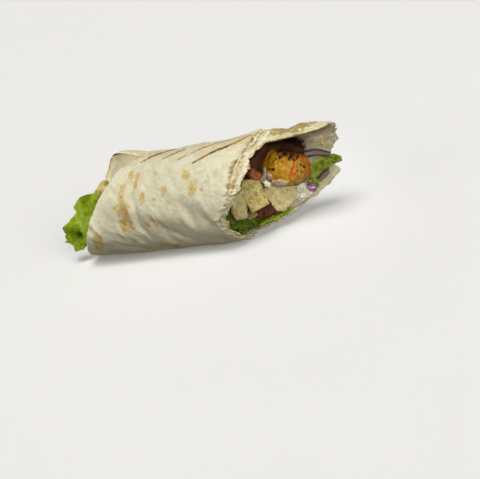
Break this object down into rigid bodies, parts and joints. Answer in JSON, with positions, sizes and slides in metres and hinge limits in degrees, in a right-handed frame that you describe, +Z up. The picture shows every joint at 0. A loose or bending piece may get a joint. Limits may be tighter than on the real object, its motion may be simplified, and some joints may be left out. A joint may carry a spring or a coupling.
{
  "type": "shrimp caesar wrap half",
  "caption": "Half of a rolled flat bread wrap, cut on a slant, with shrimp, croutons, tomato, onion and lettuce showing at the cut and lettuce at the open end.",
  "frame": {"origin": "on the table, under the middle of the half's bounding box", "axes": "+X along the roll towards the slanted cut, +Y across the roll away from the side that shows the cut, +Z up"},
  "size_m": [0.1844, 0.0614, 0.0585],
  "materials": {
    "bread": "soft white flat bread, browned in spots and grill lines",
    "filling": "packed salad and toast in dressing",
    "shrimp": "grilled, golden, moist",
    "crouton": "dry toast with browned edges",
    "tomato": "moist",
    "lettuce": "crisp leaf",
    "onion": "moist layers with a purple skin side"
  },
  "bodies": {
    "root": {"tortilla": "bread", "filling": "filling", "shrimp": "shrimp", "crouton_1": "crouton", "crouton_2": "crouton", "crouton_3": "crouton", "crouton_4": "crouton", "crouton_5": "crouton", "tomato_1": "tomato", "tomato_2": "tomato", "lettuce_right": "lettuce", "lettuce_strip": "lettuce", "lettuce_front": "lettuce", "lettuce_end": "lettuce", "onion_top": "onion", "onion_right": "onion", "onion_bright": "onion", "onion_pink": "onion", "onion_white": "onion"}
  },
  "joints": []
}
